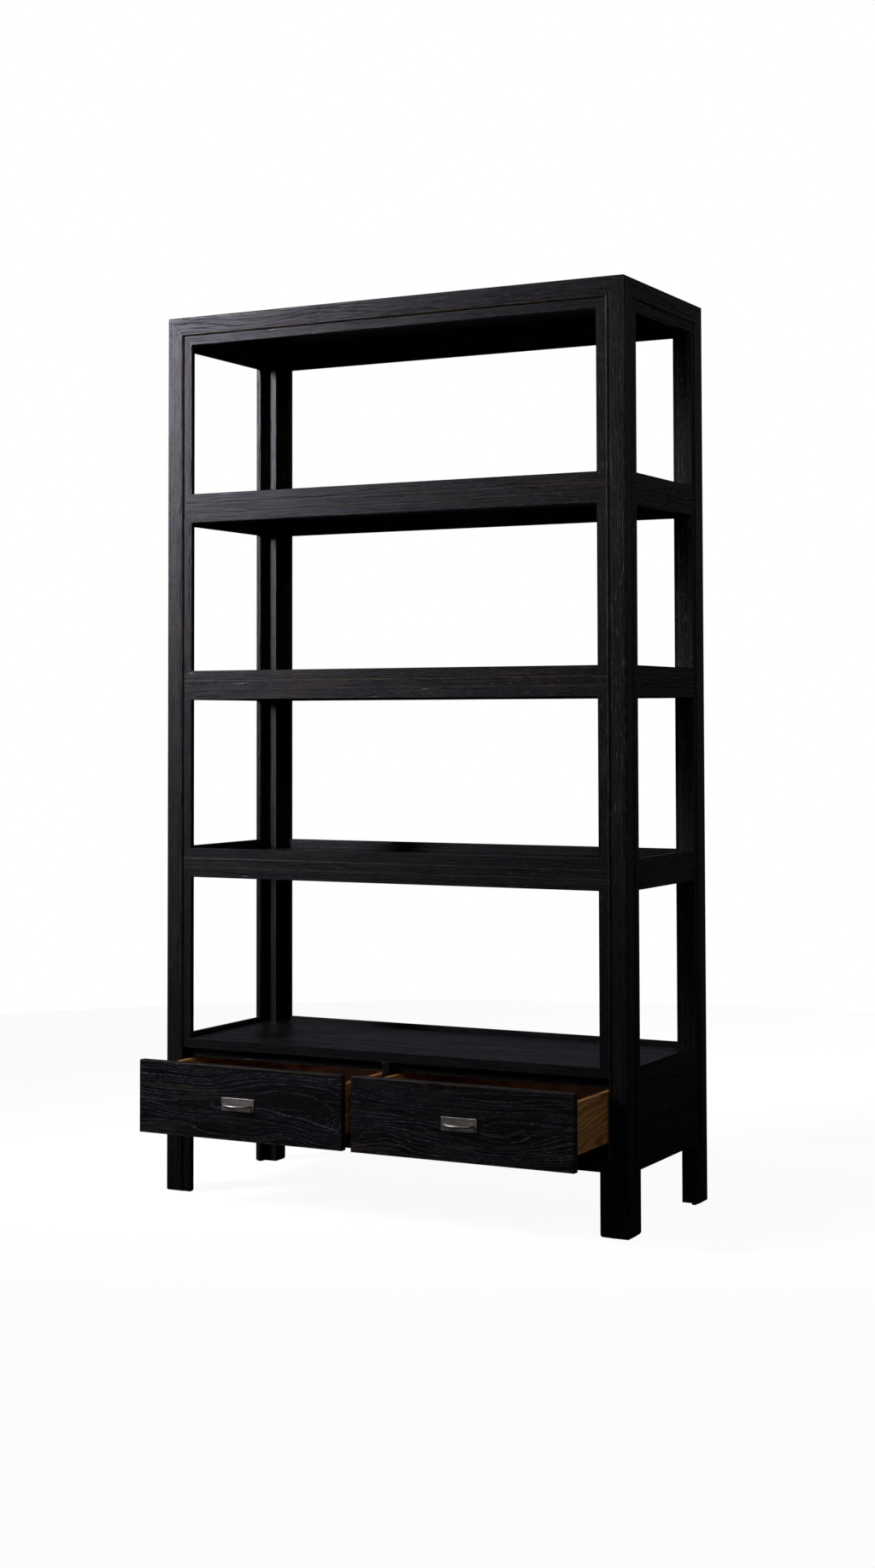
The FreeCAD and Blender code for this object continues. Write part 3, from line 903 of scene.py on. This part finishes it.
def floor_finish():
    """Nearly white to the camera, with the object's shadow; dim to other rays, as in a dark studio."""
    finish = Recipe("floor_finish")
    speckle = finish.noise(finish.coordinates("Object"), 8.0, 3.0)
    matt = finish.node("ShaderNodeBsdfDiffuse", {"Color": finish.blend(speckle, *FLOOR_SPECKLE)})
    glow = finish.node("ShaderNodeEmission", {"Strength": FLOOR_GLOW})
    dim = finish.node("ShaderNodeBsdfDiffuse", {"Color": FLOOR_DIM})
    seen = finish.node("ShaderNodeLightPath").outputs["Is Camera Ray"]
    shown = finish.mixed(FLOOR_GLOW_SHARE, matt, glow)
    return finish.show(finish.mixed(seen, dim, shown))


def plain_floor():
    mesh = bmesh.new()
    bmesh.ops.create_circle(mesh, cap_ends=True, segments=96, radius=FLOOR_RADIUS)
    data = bpy.data.meshes.new("floor")
    mesh.to_mesh(data)
    mesh.free()
    data.materials.append(floor_finish())
    floor = bpy.data.objects.new("floor", data)
    bpy.context.scene.collection.objects.link(floor)


def studio_world():
    """White behind the object for the camera. Fill and reflections see a dim room, a little lighter behind
    the object."""
    world = bpy.data.worlds.new("studio")
    bpy.context.scene.world = world
    world.use_nodes = True
    room = Steps(world.node_tree)
    path = room.node("ShaderNodeLightPath").outputs
    seen = path["Is Camera Ray"]
    mirrored = room.highest(path["Is Glossy Ray"], path["Is Transmission Ray"])
    y, z = room.apart(room.coordinates("Generated"))[1:]
    backdrop = room.times(room.stretch(z, -0.05, 0.10), room.stretch(y, 0.0, 0.4))
    dim = room.between(mirrored, ROOM_FILL, room.between(backdrop, ROOM_MIRRORED, BACKDROP_MIRRORED))
    back = room.node("ShaderNodeBackground", {
        "Color": room.blend(seen, ROOM_TINT, WHITE),
        "Strength": room.highest(seen, dim),
    })
    room.node("ShaderNodeOutputWorld", {"Surface": back.outputs[0]})


def soft_light(name, place, target, size, beam, power, tint):
    """A rectangular lamp that points at a target; its beam is in degrees."""
    lamp = bpy.data.lights.new(name, "AREA")
    lamp.shape = "RECTANGLE"
    lamp.size, lamp.size_y = size
    lamp.spread = math.radians(beam)
    lamp.energy = power
    lamp.color = tint
    holder = bpy.data.objects.new(name, lamp)
    holder.location = place
    holder.visible_camera = False
    holder.rotation_euler = (Vector(target) - Vector(place)).to_track_quat("-Z", "Y").to_euler()
    bpy.context.scene.collection.objects.link(holder)


def photo_camera():
    """The camera solved from the photograph's straight edges; its focal length and centre are in pixels."""
    wide, high = 1024, 1836
    focal = 2685.27
    centre_x, centre_y = 517.5, 737.5
    yaw, pitch, roll = 0.4803, 0.0396, -0.0025
    place = (2.430, -4.6156, 1.0684)
    lens = bpy.data.cameras.new("camera")
    lens.sensor_width = 36.0
    lens.lens = focal * lens.sensor_width / high
    lens.shift_x = (wide / 2 - centre_x) / high
    lens.shift_y = (centre_y - high / 2) / high
    upright = Matrix.Rotation(yaw, 4, "Z") @ Matrix.Rotation(math.pi / 2 + pitch, 4, "X")
    camera = bpy.data.objects.new("camera", lens)
    camera.matrix_world = Matrix.Translation(place) @ upright @ Matrix.Rotation(roll, 4, "Z")
    bpy.context.scene.collection.objects.link(camera)
    bpy.context.scene.camera = camera


finish_object()
plain_floor()
studio_world()
soft_light("window", place=(-2.47, -2.33, 3.14), target=(-0.8, -0.22, 1.87), size=(0.5, 2.6), beam=50,
           power=52.0, tint=(0.87, 0.855, 1.0))
soft_light("room", place=(2.2, -3.0, 2.8), target=(0.0, -0.2, 1.1), size=(1.6, 1.6), beam=180,
           power=32.0, tint=(1.0, 0.97, 0.93))
photo_camera()
bpy.context.scene.view_settings.view_transform = "Standard"
